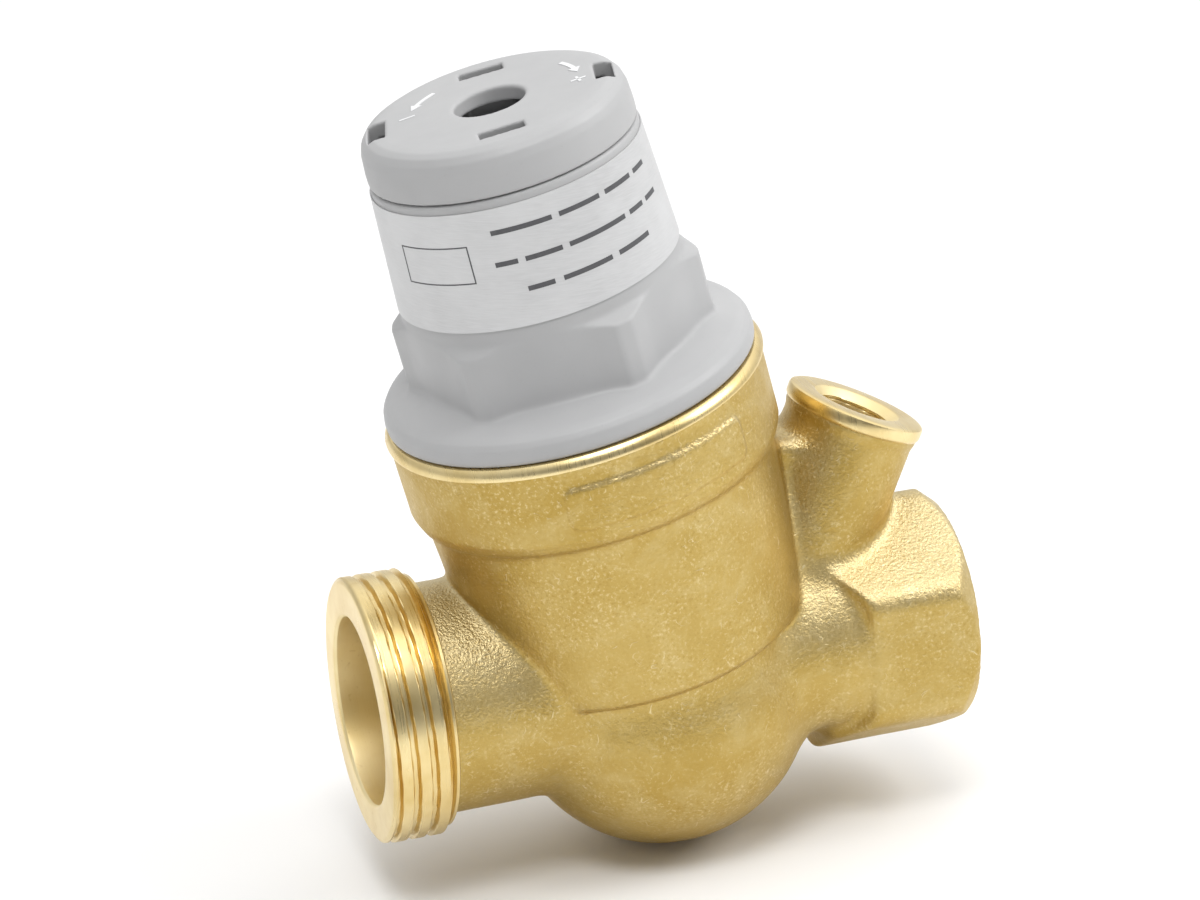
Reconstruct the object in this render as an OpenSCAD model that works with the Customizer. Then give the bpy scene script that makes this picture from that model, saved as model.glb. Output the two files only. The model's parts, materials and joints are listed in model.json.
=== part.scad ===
// Water pressure regulator: forged angle-cartridge body, plastic bonnet and a spring loaded
// diaphragm that lifts a balanced obturator against its seat.
// Millimetres, +Z up. The pipe runs along X. Origin: centre of the inlet union face.
// The cartridge axis leans towards the inlet; levels called s run along that axis from the pipe axis.

/* [Pipe run] */
// Distance from the cartridge axis to the inlet union face
inlet_len = 38; // [38:0.5:42]
// Distance from the cartridge axis to the outlet face
outlet_len = 38.5; // [38:0.5:42]
// Lean of the cartridge axis towards the inlet, in degrees
lean = 12; // [10:1:12]
// Across flats of the outlet hexagon
outlet_af = 28.8; // [28:0.2:30]

/* [Threads] */
// Crest radius of the inlet union thread
union_r = 16.62; // [16.5:0.01:16.7]
// Pitch of the inlet union thread
union_pitch = 2.309; // [2.2:0.001:2.4]
// Wall radius of the outlet female thread
outlet_r = 9.2; // [8.8:0.1:9.4]
// Wall radius of the gauge port thread
gauge_r = 4.35; // [4.2:0.05:4.5]

/* [Body] */
// Radius of the rounded lower body
dome_r = 19.35; // [19:0.05:19.8]
// Radius of the upper band of the body
band_r = 23.8; // [23.6:0.1:24.2]
// Level of the machined rim that the bonnet sits on
rim_s = 39.4; // [39.2:0.1:39.6]
// Lean of the gauge port towards the outlet, in degrees
gauge_lean = 25; // [23:1:27]
// Radius of the gauge port lip
gauge_lip_r = 8.85; // [8.6:0.05:9.2]

/* [Bonnet] */
// Radius of the bonnet flange
flange_r = 23.2; // [22.8:0.1:23.4]
// Across flats of the bonnet hexagon
bonnet_af = 34.2; // [33.6:0.2:34.6]
// Radius of the bonnet cylinder at its foot
tube_r = 17.4; // [17.2:0.1:17.6]
// Radius of the bonnet cylinder at its top
tube_top_r = 16.5; // [16.4:0.1:16.8]
// Radius of the key hole in the top cap
key_r = 4.35; // [4:0.05:4.5]

/* [Spring and screw] */
// Wire diameter of the range spring
wire_d = 2.6; // [2.4:0.1:3]
// Mean radius of the range spring
coil_r = 10.2; // [10:0.1:10.4]
// Active turns of the range spring
coil_turns = 4.5; // [4:0.5:6]
// Radius of the adjusting screw thread
screw_r = 4; // [3.8:0.1:4]
// Pitch of the adjusting screw thread
screw_pitch = 1.25; // [1:0.25:1.5]
// Radius of the valve stem
stem_r = 2.5; // [2.4:0.1:2.5]

/* [Hidden] */
$fn = 96;
// levels along the cartridge axis
floor_s = -15;
ledge_s = 6.5;
shoulder_s = 20.5;
cap_s = 70.6;
cap_top_s = 76.5;
nut_s = 54.5;
plate_top_s = 26.2;
// bores of the body
low_r = 11.6;
mid_r = 15;
high_r = 18.6;
// clearances
run_c = 0.05;
slip_c = 0.1;
e = 0.5;

// centre of the gauge port face, from the crossing of pipe axis and cartridge axis
gauge_x = 28.5;
gauge_z = 29.2;
// mid-thickness colours
c_brass = [0.79, 0.68, 0.41];
c_steel = [0.72, 0.73, 0.74];
c_grey = [0.76, 0.77, 0.78];
c_black = [0.08, 0.08, 0.09];
c_white = [0.88, 0.88, 0.85];
c_foil = [0.83, 0.84, 0.85];

// ---------- placement ----------

module at_cross() {
    translate([inlet_len, 0, 0]) children();
}

module on_axis() {
    at_cross() rotate([0, -lean, 0]) children();
}

module at_gauge() {
    at_cross() translate([gauge_x, 0, gauge_z]) rotate([0, gauge_lean, 0]) children();
}

// ---------- shared shapes ----------

module lathe(points) {
    rotate_extrude() polygon(points);
}

module rod(r, s0, s1) {
    translate([0, 0, s0]) cylinder(r = r, h = s1 - s0);
}

module tube(ro, ri, s0, s1) {
    difference() {
        rod(ro, s0, s1);
        rod(ri, s0 - 1, s1 + 1);
    }
}

module hex_prism(af, s0, s1) {
    translate([0, 0, s0]) cylinder(r = af / sqrt(3), h = s1 - s0, $fn = 6);
}

module torus(ring_r, wire_r, s) {
    translate([0, 0, s]) rotate_extrude() translate([ring_r, 0]) circle(r = wire_r);
}

// ring grooves that stand for a thread, cut from outside or inside
module thread_grooves(r_land, depth, pitch, count, s0) {
    for (i = [0 : count - 1]) {
        translate([0, 0, s0 + i * pitch]) lathe([
            [r_land - depth, 0.32 * pitch],
            [r_land - depth, 0.48 * pitch],
            [r_land + 0.05, 0.68 * pitch],
            [r_land + 0.6, 0.68 * pitch],
            [r_land + 0.6, 0.12 * pitch],
            [r_land + 0.05, 0.12 * pitch]
        ]);
    }
}

module thread_cuts_inside(r_land, depth, pitch, count, s0) {
    for (i = [0 : count - 1]) {
        translate([0, 0, s0 + i * pitch]) lathe([
            [r_land - 0.6, 0.15 * pitch],
            [r_land, 0.15 * pitch],
            [r_land + depth, 0.42 * pitch],
            [r_land + depth, 0.52 * pitch],
            [r_land, 0.8 * pitch],
            [r_land - 0.6, 0.8 * pitch]
        ]);
    }
}

// ---------- body ----------

module body_barrel() {
    lathe([
        [0, -5],
        [18.4, -5],
        [18.7, 3.6],
        [20.2, 4.3],
        [20.6, 5.6],
        [21.9, 26.4],
        [23.2, 27.3],
        [band_r, 28.4],
        [band_r, rim_s - 1.1],
        [band_r - 0.8, rim_s],
        [0, rim_s]
    ]);
}

module union_thread() {
    difference() {
        lathe([
            [0, inlet_len - 11],
            [13.9, inlet_len - 11],
            [14.2, inlet_len - 9.4],
            [15.2, inlet_len - 8.2],
            [15.9, inlet_len - 7.6],
            [union_r, inlet_len - 7.1],
            [union_r, inlet_len - 0.6],
            [15.9, inlet_len],
            [0, inlet_len]
        ]);
        thread_grooves(union_r, 0.7, union_pitch, 2, inlet_len - 5.9);
    }
}

// collar and hexagon; the hexagon's sides start on slanted end faces
module outlet_hex() {
    lathe([
        [0, 20],
        [13.2, 20],
        [13.7, 20.5],
        [13.7, 26],
        [0, 26]
    ]);
    intersection() {
        hex_prism(outlet_af, 20, outlet_len);
        lathe([
            [0, 20],
            [15.2, 20],
            [16.1, 21],
            [16.1, outlet_len - 2.6],
            [14.0, outlet_len],
            [0, outlet_len]
        ]);
        rotate([0, -90, 0]) translate([0, 0, -18]) linear_extrude(height = 36) polygon([
            [20, -8.3],
            [24.6, -14.43],
            [outlet_len, -14.43],
            [outlet_len, 14.43],
            [24.6, 14.43],
            [20, 8.3]
        ]);
    }
}

module gauge_boss() {
    lathe([
        [0, -20],
        [8.9, -20],
        [8.6, -13],
        [8.4, -7.5],
        [8.3, -2.9],
        [gauge_lip_r, -2.2],
        [gauge_lip_r, -0.5],
        [gauge_lip_r - 0.5, 0],
        [0, 0]
    ]);
}

module gauge_web() {
    translate([0, 5, 0]) rotate([90, 0, 0]) linear_extrude(height = 10) polygon([
        [8, 27.4],
        [18.6, 28.2],
        [25.5, 24.5],
        [27, 12],
        [12, 6]
    ]);
}

module body_outside() {
    translate([0.4, 0, -4.4]) sphere(r = dome_r);
    rotate([0, -lean, 0]) body_barrel();
    rotate([0, -90, 0]) rod(13.9, 0, inlet_len - 10);
    rotate([0, -90, 0]) union_thread();
    rotate([0, 90, 0]) rod(13.8, 0, 24);
    rotate([0, 90, 0]) outlet_hex();
    translate([gauge_x, 0, gauge_z]) rotate([0, gauge_lean, 0]) gauge_boss();
    gauge_web();
}

// a straight drilling in the symmetry plane between two points
module drilling(x0, z0, x1, z1, r) {
    run = sqrt(pow(x1 - x0, 2) + pow(z1 - z0, 2));
    turn = atan2(x1 - x0, z1 - z0);
    translate([x0, 0, z0]) rotate([0, turn, 0]) cylinder(r = r, h = run);
}

module body_bores() {
    rotate([0, -lean, 0]) {
        rod(low_r, floor_s, ledge_s + e);
        rod(mid_r, ledge_s, shoulder_s + e);
        rod(high_r, shoulder_s, rim_s + e);
        thread_cuts_inside(high_r, 0.5, 1.5, 6, rim_s - 10.5);
    }
    // inlet: union bore, then the drilling down to the lower chamber
    rotate([0, -90, 0]) rod(11.7, inlet_len - 7, inlet_len + e);
    rotate([0, -90, 0]) rod(9.5, inlet_len - 10, inlet_len - 6);
    drilling(-inlet_len + 8, 0, -7, -10.2, 6.5);
    // outlet: thread, then the drilling up to the mid chamber
    rotate([0, 90, 0]) rod(outlet_r, 22.5, outlet_len + e);
    rotate([0, 90, 0]) thread_cuts_inside(outlet_r, 0.7, 1.814, 7, outlet_len - 13.8);
    rotate([0, 90, 0]) translate([0, 0, outlet_len - 1.2]) cylinder(r1 = outlet_r, r2 = 10.9, h = 1.7);
    drilling(25, 1.4, 11, 17.5, 5);
    // gauge port
    translate([gauge_x, 0, gauge_z]) rotate([0, gauge_lean, 0]) {
        rod(gauge_r, -10, e);
        translate([0, 0, -0.8]) cylinder(r1 = gauge_r, r2 = 5.65, h = 1.3);
        rod(1.6, -22, -9);
    }
}

module valve_body() {
    color(c_brass) at_cross() difference() {
        body_outside();
        body_bores();
    }
}

// ---------- bonnet, cap and label ----------

module bonnet_outside() {
    // threaded skirt
    lathe([
        [0, shoulder_s + 2.5],
        [18.0, shoulder_s + 2.5],
        [high_r - slip_c, shoulder_s + 3.2],
        [high_r - slip_c, rim_s + 1],
        [0, rim_s + 1]
    ]);
    // flange with a rounded edge and a slope to the hexagon
    lathe([
        [0, rim_s],
        [flange_r - 0.6, rim_s],
        [flange_r, rim_s + 0.8],
        [flange_r, rim_s + 2.0],
        [flange_r - 0.6, rim_s + 3.2],
        [flange_r - 1.8, rim_s + 3.9],
        [19.6, rim_s + 4.9],
        [17.0, rim_s + 6.0],
        [0, rim_s + 6.0]
    ]);
    intersection() {
        rotate([0, 0, -17]) hex_prism(bonnet_af, rim_s + 3, rim_s + 13.4);
        lathe([
            [0, rim_s + 3],
            [19.1, rim_s + 3],
            [19.1, rim_s + 12.2],
            [17.6, rim_s + 13.4],
            [0, rim_s + 13.4]
        ]);
    }
    lathe([
        [0, rim_s + 10],
        [tube_r, rim_s + 10],
        [tube_r, rim_s + 14.6],
        [tube_top_r, cap_s - 0.15],
        [0, cap_s - 0.15]
    ]);
    // snap ring for the cap
    lathe([
        [0, cap_s - 1],
        [13.4, cap_s - 1],
        [13.4, cap_s + 1.2],
        [13.9, cap_s + 2.0],
        [13.4, cap_s + 2.8],
        [0, cap_s + 2.8]
    ]);
}

module nut_track(clear) {
    for (a = [0, 90, 180, 270]) {
        rotate([0, 0, a]) translate([0, -2.1 - clear, shoulder_s]) cube([14.7 + clear, 4.2 + 2 * clear, 43.5]);
    }
}

module bonnet() {
    color(c_grey) on_axis() difference() {
        bonnet_outside();
        rod(13.4, shoulder_s, 67.1);
        nut_track(0.2);
        rod(15.2, shoulder_s, shoulder_s + 12);
        rod(5.0, 66, 80);
        rod(11.2, 70.4, 80);
    }
}

module cap_window(a, r0) {
    rotate([0, 0, a]) translate([r0, -2.8, cap_s + 1.2]) cube([2.2, 5.6, 10]);
}

module top_cap() {
    color(c_grey) on_axis() difference() {
        lathe([
            [0, cap_s],
            [tube_top_r, cap_s],
            [tube_top_r, cap_s + 0.6],
            [tube_top_r - 0.1, cap_s + 3.9],
            [tube_top_r - 0.5, cap_s + 5.0],
            [tube_top_r - 1.3, cap_s + 5.7],
            [tube_top_r - 2.3, cap_top_s],
            [0, cap_top_s]
        ]);
        rod(14.2, cap_s - 1, cap_s + 3.9);
        rod(key_r, cap_s, cap_top_s + 1);
        translate([0, 0, cap_top_s - 0.4]) cylinder(r1 = key_r, r2 = key_r + 0.9, h = 0.9);
        cap_window(-99, 10.0);
        cap_window(-13, 12.8);
        cap_window(79, 10.0);
        cap_window(165, 12.8);
    }
}

module rating_label() {
    slope = (tube_r - tube_top_r) / (cap_s - 0.15 - rim_s - 14.6);
    s0 = rim_s + 15.2;
    s1 = cap_s - 1.2;
    r0 = tube_r - (s0 - rim_s - 14.6) * slope + 0.03;
    r1 = tube_r - (s1 - rim_s - 14.6) * slope + 0.03;
    color(c_foil) on_axis() rotate([0, 0, -250]) rotate_extrude(angle = 320) polygon([
        [r0, s0],
        [r0 + 0.15, s0],
        [r1 + 0.15, s1],
        [r1, s1]
    ]);
}

// ---------- screw, nut and spring ----------

module adjusting_screw() {
    color(c_brass) on_axis() difference() {
        lathe([
            [0, 40],
            [screw_r - 0.8, 40],
            [screw_r, 40.8],
            [screw_r, 63],
            [7.6, 63],
            [7.6, 66.1],
            [5.0 - run_c, 66.1],
            [5.0 - run_c, 70.55],
            [4.3, 70.6],
            [4.3, 71.4],
            [5.0 - run_c, 71.45],
            [5.0 - run_c, 72.9],
            [4.5, 73.4],
            [0, 73.4]
        ]);
        thread_grooves(screw_r, 0.5, screw_pitch, 16, 41.4);
        translate([-6, -0.7, 71.9]) cube([12, 1.4, 3]);
    }
}

module screw_clip() {
    color(c_steel) on_axis() difference() {
        tube(6.6, 4.35, 70.65, 71.35);
        translate([0, -2.2, 70]) cube([8, 4.4, 3]);
    }
}

module thrust_washer() {
    color(c_steel) on_axis() tube(7.8, 5.1, 66.2, 67.0);
}

module spring_nut() {
    color(c_brass) on_axis() difference() {
        union() {
            rod(12.9, nut_s, nut_s + 3);
            rod(7, nut_s + 2, nut_s + 5);
            intersection() {
                for (a = [0, 90]) {
                    rotate([0, 0, a]) translate([-14.5, -1.9, nut_s]) cube([29, 3.8, 3]);
                }
                rod(14.5, nut_s, nut_s + 3);
            }
            tube(coil_r - wire_d / 2 - 0.3, 5, nut_s - 2, nut_s + 1);
        }
        rod(screw_r + slip_c, nut_s - 3, nut_s + 6);
    }
}

// round wire swept along a helix, with closed flat end turns
module helix(ring_r, wire_r, s0, s1, turns, dead, steps, sides) {
    n = round((turns + 2 * dead) * steps);
    len = s1 - s0 - 2 * wire_r;
    pitch_dead = 2 * wire_r * 1.04;
    climb = (len - 2 * dead * pitch_dead) / turns;
    function level(t) = t < dead ? t * pitch_dead
        : t < dead + turns ? dead * pitch_dead + (t - dead) * climb
        : dead * pitch_dead + turns * climb + (t - dead - turns) * pitch_dead;
    pts = [
        for (i = [0 : n], k = [0 : sides - 1])
        let (t = i / steps, a = 360 * t, b = 360 * k / sides, rr = ring_r + wire_r * cos(b))
        [rr * cos(a), rr * sin(a), s0 + wire_r + level(t) + wire_r * sin(b)]
    ];
    side_faces = [
        for (i = [0 : n - 1], k = [0 : sides - 1])
        [i * sides + k, i * sides + (k + 1) % sides, (i + 1) * sides + (k + 1) % sides, (i + 1) * sides + k]
    ];
    first = [for (k = [sides - 1 : -1 : 0]) k];
    last = [for (k = [0 : sides - 1]) n * sides + k];
    polyhedron(points = pts, faces = concat(side_faces, [first], [last]), convexity = 10);
}

module range_spring() {
    color(c_steel) on_axis() helix(
        coil_r, wire_d / 2, plate_top_s + 0.1, nut_s - 0.1, coil_turns, 1, 24, 12
    );
}

module spring_plate() {
    color(c_steel) on_axis() difference() {
        lathe([
            [2.1, 24.5],
            [11, 24.5],
            [12.3, 25.2],
            [12.3, 27.4],
            [11.9, 27.4],
            [11.9, plate_top_s],
            [2.1, plate_top_s]
        ]);
        rod(2.1, 24, 27);
    }
}

// ---------- diaphragm and stem ----------

module slip_ring() {
    color(c_white) on_axis() tube(18.35, 15.3, shoulder_s + 1.7, shoulder_s + 2.4);
}

module diaphragm() {
    color(c_black) on_axis() lathe([
        [2.1, 23.15],
        [11.2, 23.15],
        [12.6, 22.9],
        [14.2, 20.6],
        [18.4, 20.6],
        [18.4, 22.1],
        [15.0, 22.1],
        [13.6, 24.0],
        [12.0, 24.4],
        [2.1, 24.4]
    ]);
}

module diaphragm_support() {
    color(c_steel) on_axis() difference() {
        lathe([
            [2.05, 21.7],
            [10.2, 21.7],
            [11, 22.4],
            [11, 23.1],
            [2.05, 23.1]
        ]);
        rod(2.05, 21, 24);
    }
}

module stem() {
    color(c_brass) on_axis() difference() {
        lathe([
            [0, -6.6],
            [1.7, -6.6],
            [2.0, -6.2],
            [2.0, -1.7],
            [stem_r, -1.7],
            [stem_r, 21.6],
            [2.0, 21.6],
            [2.0, 30.6],
            [1.6, 31.1],
            [0, 31.1]
        ]);
        thread_grooves(2.0, 0.3, 0.7, 4, 27.8);
    }
}

module stem_washer() {
    color(c_steel) on_axis() tube(4.8, 2.05, 26.25, 27.0);
}

module stem_nut() {
    color(c_steel) on_axis() difference() {
        intersection() {
            hex_prism(7, 27.05, 30.2);
            lathe([
                [0, 27.05],
                [4.1, 27.05],
                [4.1, 29.7],
                [3.5, 30.2],
                [0, 30.2]
            ]);
        }
        rod(2.05, 26, 32);
    }
}

// ---------- cartridge ----------

module cage_windows(count, r, w, s0, s1) {
    for (k = [0 : count - 1]) {
        rotate([0, 0, 360 * (k + 0.5) / count]) translate([r, -w / 2, s0]) cube([8, w, s1 - s0]);
    }
}

module cartridge_cage() {
    color(c_white) on_axis() difference() {
        union() {
            rod(9.4, -8.1, 2);
            lathe([
                [0, 1.0],
                [11.45, 1.0],
                [11.45, 3.2],
                [10.0, 3.2],
                [10.0, 5.0],
                [11.45, 5.0],
                [11.45, ledge_s + 0.1],
                [12.6, ledge_s + 0.1],
                [12.6, 17.4],
                [14.9, 17.4],
                [14.9, 18.1],
                [13.4, 18.1],
                [13.4, 19.7],
                [14.9, 19.7],
                [14.9, 20.35],
                [0, 20.35]
            ]);
        }
        rod(8.6, -9, -0.4);
        rod(6.85, -1, 2.7);
        rod(5.2, 2, 8);
        rod(10.4, ledge_s, 17.2);
        rod(stem_r + run_c, 16, 22);
        cage_windows(4, 5, 9.0, -7.0, -0.6);
        cage_windows(6, 7, 7.2, 8.2, 15.8);
        for (k = [0 : 2]) {
            rotate([0, 0, 120 * k]) translate([7.5, 0, 16]) cylinder(r = 1.1, h = 6);
        }
    }
}

module seat_ring() {
    color(c_steel) on_axis() lathe([
        [5.2, -0.7],
        [5.6, -1.05],
        [5.9, -1.05],
        [6.3, -0.6],
        [6.75, -0.3],
        [6.75, 2.6],
        [5.2, 2.6]
    ]);
}

module cage_oring_lower() {
    color(c_black) on_axis() torus(10.8, 0.76, 4.1);
}

module cage_oring_upper() {
    color(c_black) on_axis() torus(14.2, 0.76, 18.9);
}

module obturator() {
    color(c_brass) on_axis() difference() {
        lathe([
            [0, -12.6],
            [4.9, -12.6],
            [5.5, -12.0],
            [5.5, -10.6],
            [4.2, -10.6],
            [4.2, -9.0],
            [5.5, -9.0],
            [5.5, -6.9],
            [7.6, -6.6],
            [8.2, -6.0],
            [8.2, -3.2],
            [7.8, -2.95],
            [7.7, -4.6],
            [0, -4.6]
        ]);
        rod(2.05, -6.8, -4);
        rod(0.9, -13, -6);
    }
}

module obturator_gasket() {
    color(c_black) on_axis() tube(7.6, 2.5, -4.55, -2.95);
}

module gasket_retainer() {
    color(c_steel) on_axis() tube(4.5, 2.05, -2.9, -1.75);
}

module piston_seal() {
    color(c_black) on_axis() torus(4.87, 0.63, -9.8);
}

module cartridge_base() {
    color(c_white) on_axis() difference() {
        union() {
            rod(8.5, -14.9, -8.15);
            rod(9.4, -10.2, -8.15);
        }
        rod(5.5 + run_c, -13.9, -8);
        rod(1.2, -16, -13);
    }
}

module strainer_mesh() {
    color(c_steel) on_axis() difference() {
        tube(10.5, 10.2, -12.4, 0.4);
        for (row = [0 : 2], k = [0 : 11]) {
            rotate([0, 0, 30 * k + 15 * row]) translate([8, 0, -9.4 + 3.4 * row])
                rotate([0, 90, 0]) cylinder(r = 1.3, h = 5);
        }
    }
}

module strainer_frame() {
    color(c_white) on_axis() {
        tube(11.2, 10.55, -12.4, -11.2);
        tube(11.2, 8.6, -13.6, -12.45);
        tube(11.2, 10.55, -0.7, 0.4);
        tube(11.2, 9.6, 0.45, 0.95);
        for (k = [0 : 3]) {
            rotate([0, 0, 90 * k + 45]) translate([10.6, -0.8, -12.6]) cube([0.5, 1.6, 13.3]);
        }
    }
}

valve_body();
bonnet();
top_cap();
rating_label();
adjusting_screw();
screw_clip();
thrust_washer();
spring_nut();
range_spring();
spring_plate();
slip_ring();
diaphragm();
diaphragm_support();
stem();
stem_washer();
stem_nut();
cartridge_cage();
seat_ring();
cage_oring_lower();
cage_oring_upper();
obturator();
obturator_gasket();
gasket_retainer();
piston_seal();
cartridge_base();
strainer_mesh();
strainer_frame();
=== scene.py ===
"""Water pressure regulator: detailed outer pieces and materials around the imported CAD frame.

Shapes are worked out in millimetres in two frames: the pipe frame, with its origin where the pipe
axis and the cartridge axis cross, and the cartridge frame, whose Z runs along the leaning bonnet.
"""

import json
import math

import bpy
import numpy as np
from mathutils import Matrix, Vector


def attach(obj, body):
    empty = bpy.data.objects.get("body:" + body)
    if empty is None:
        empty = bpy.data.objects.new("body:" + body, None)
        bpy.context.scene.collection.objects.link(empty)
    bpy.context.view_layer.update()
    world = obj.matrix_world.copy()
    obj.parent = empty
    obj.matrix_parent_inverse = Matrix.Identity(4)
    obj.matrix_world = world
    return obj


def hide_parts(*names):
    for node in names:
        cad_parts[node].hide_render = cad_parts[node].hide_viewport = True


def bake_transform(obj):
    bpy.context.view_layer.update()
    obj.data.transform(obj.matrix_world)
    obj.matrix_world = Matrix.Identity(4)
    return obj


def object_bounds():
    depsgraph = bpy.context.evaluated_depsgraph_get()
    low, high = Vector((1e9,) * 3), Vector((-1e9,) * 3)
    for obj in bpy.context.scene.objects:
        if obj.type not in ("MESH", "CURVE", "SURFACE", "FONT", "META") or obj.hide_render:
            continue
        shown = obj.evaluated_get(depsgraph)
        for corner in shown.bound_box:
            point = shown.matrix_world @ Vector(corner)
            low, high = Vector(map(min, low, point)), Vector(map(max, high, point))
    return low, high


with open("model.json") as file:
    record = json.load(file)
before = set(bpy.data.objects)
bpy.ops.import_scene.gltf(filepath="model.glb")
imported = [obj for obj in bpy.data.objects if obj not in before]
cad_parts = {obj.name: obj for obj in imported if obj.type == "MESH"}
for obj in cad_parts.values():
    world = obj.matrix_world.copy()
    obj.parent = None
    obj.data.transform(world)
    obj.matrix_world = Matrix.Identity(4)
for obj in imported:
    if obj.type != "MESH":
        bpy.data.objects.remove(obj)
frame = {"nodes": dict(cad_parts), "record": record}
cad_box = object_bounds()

MM = 0.001
INLET = 38.0
OUTLET = 38.5
LEAN = math.radians(12)
RIM = 39.4
SEAM = 70.6
CAP_TOP = 76.5
GAUGE = (28.5, 29.2)
GAUGE_LEAN = math.radians(25)

PIPE = Matrix.Translation((INLET * MM, 0, 0)) @ Matrix.Scale(MM, 4)
CART = PIPE @ Matrix.Rotation(-LEAN, 4, "Y")
PORT = PIPE @ Matrix.Translation((GAUGE[0], 0, GAUGE[1])) @ Matrix.Rotation(GAUGE_LEAN, 4, "Y")


# ---------- signed distance tools (numpy, float32) ----------


def smin(a, b, k):
    """Union with a fillet of about k."""
    h = np.clip(0.5 + 0.5 * (b - a) / k, 0, 1)
    return b + (a - b) * h - k * h * (1 - h)


def smax(a, b, k):
    """Intersection with a rounded edge of about k."""
    return -smin(-a, -b, k)


def cut(a, b, k=0.3):
    """Removes b from a, with the edge broken by about k."""
    return smax(a, -b, k)


def poly(x, y, points):
    """Signed distance to a polygon given as (x, y) corners."""
    d = np.full_like(x, 1e9)
    inside = np.zeros(x.shape, bool)
    n = len(points)
    for i in range(n):
        ax, ay = points[i]
        bx, by = points[i - 1]
        ex, ey = bx - ax, by - ay
        wx, wy = x - ax, y - ay
        t = np.clip((wx * ex + wy * ey) / (ex * ex + ey * ey), 0, 1)
        d = np.minimum(d, (wx - ex * t) ** 2 + (wy - ey * t) ** 2)
        if ey != 0:
            crosses = (y >= min(ay, by)) & (y < max(ay, by))
            inside ^= crosses & (x < ax + (y - ay) / ey * ex)
    d = np.sqrt(d)
    return np.where(inside, -d, d)


def rod(x, y, z, r, z0, z1):
    """Cylinder about z."""
    q = np.hypot(x, y) - r
    w = np.maximum(z0 - z, z - z1)
    return np.minimum(np.maximum(q, w), 0) + np.hypot(np.maximum(q, 0), np.maximum(w, 0))


def hexagon(x, y, half_af):
    """Hexagon with corners on the x axis."""
    d = np.abs(y)
    for a in (60, 120):
        c, s = math.cos(math.radians(a)), math.sin(math.radians(a))
        d = np.maximum(d, np.abs(-s * x + c * y))
    return d - half_af


def box(x, y, z, c, half):
    q = [np.abs(v - m) - h for v, m, h in zip((x, y, z), c, half)]
    outside = np.sqrt(sum(np.maximum(v, 0) ** 2 for v in q))
    return outside + np.minimum(np.maximum(np.maximum(q[0], q[1]), q[2]), 0)


def turn_y(x, z, a):
    """Coordinates in a frame turned by a about +Y."""
    c, s = math.cos(a), math.sin(a)
    return c * x - s * z, s * x + c * z


def value_noise(x, y, z, cell, seed):
    """Smooth noise from -1 to 1 with features of about cell, the same each run."""
    rng = np.random.RandomState(seed)
    t = rng.uniform(-1, 1, (32, 32, 32)).astype(np.float32)
    p = [v / cell + 64 for v in (x, y, z)]
    i = [np.floor(v).astype(np.int32) for v in p]
    f = [v - w for v, w in zip(p, i)]
    f = [v * v * (3 - 2 * v) for v in f]
    out = 0
    for a in (0, 1):
        for b in (0, 1):
            for c in (0, 1):
                w = (f[0] if a else 1 - f[0]) * (f[1] if b else 1 - f[1]) * (f[2] if c else 1 - f[2])
                out = out + w * t[(i[0] + a) & 31, (i[1] + b) & 31, (i[2] + c) & 31]
    return out


def surface_net(fn, low, high, h, steps=4):
    """Closed quad mesh of fn = 0 inside the box, each corner moved onto the surface."""
    axes = [np.arange(lo, hi + h, h, dtype=np.float32) for lo, hi in zip(low, high)]
    n = [len(a) for a in axes]
    v = np.empty(n, np.float32)
    for i0 in range(0, n[0], 24):
        g = np.meshgrid(axes[0][i0:i0 + 24], axes[1], axes[2], indexing="ij")
        v[i0:i0 + 24] = fn(*g)
    inside = v < 0
    edges = []
    for ax in range(3):
        a = np.take(v, range(n[ax] - 1), ax)
        b = np.take(v, range(1, n[ax]), ax)
        hit = np.argwhere((a < 0) != (b < 0))
        va, vb = a[tuple(hit.T)], b[tuple(hit.T)]
        pt = hit.astype(np.float64)
        pt[:, ax] += va / (va - vb)
        edges.append((hit, pt, va < 0))
    ids, pts = [], []
    quads = []
    for ax, (hit, pt, out) in enumerate(edges):
        u, w = (ax + 1) % 3, (ax + 2) % 3
        ring = []
        for du, dw in ((-1, -1), (0, -1), (0, 0), (-1, 0)):
            c = hit.copy()
            c[:, u] += du
            c[:, w] += dw
            ring.append((c[:, 0] * n[1] + c[:, 1]) * n[2] + c[:, 2])
            ids.append(ring[-1])
            pts.append(pt)
        q = np.stack(ring, 1)
        quads.append(np.where(out[:, None], q, q[:, ::-1]))
    ids, pts, quads = np.concatenate(ids), np.concatenate(pts), np.concatenate(quads)
    cells, where = np.unique(ids, return_inverse=True)
    count = np.bincount(where)
    co = np.stack([np.bincount(where, pts[:, k]) / count for k in range(3)], 1) * h + np.array(low)
    faces = np.searchsorted(cells, quads)
    co = co.astype(np.float32)
    d = np.float32(0.05)
    for _ in range(steps):
        f0 = fn(*co.T)
        grad = np.stack([fn(*(co + d * e).T) - f0 for e in np.eye(3, dtype=np.float32)], 1) / d
        move = grad * (f0 / np.maximum((grad ** 2).sum(1), 0.05))[:, None]
        size = np.sqrt((move ** 2).sum(1, keepdims=True))
        co = co - move * np.minimum(1, 0.5 * h / np.maximum(size, 1e-9))
    return co, faces


# ---------- mesh tools ----------


def to_mesh(name, co, faces, place, smooth=True, angle=None):
    co = np.asarray(co, np.float64)
    m = np.array(place)
    co = co @ m[:3, :3].T + m[:3, 3]
    mesh = bpy.data.meshes.new(name)
    mesh.from_pydata(co.tolist(), [], [list(map(int, f)) for f in faces])
    mesh.validate()
    mesh.update()
    obj = bpy.data.objects.new(name, mesh)
    bpy.context.scene.collection.objects.link(obj)
    mesh.polygons.foreach_set("use_smooth", [smooth] * len(mesh.polygons))
    if angle is not None:
        mesh.set_sharp_from_angle(angle=math.radians(angle))
    return obj


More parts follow.
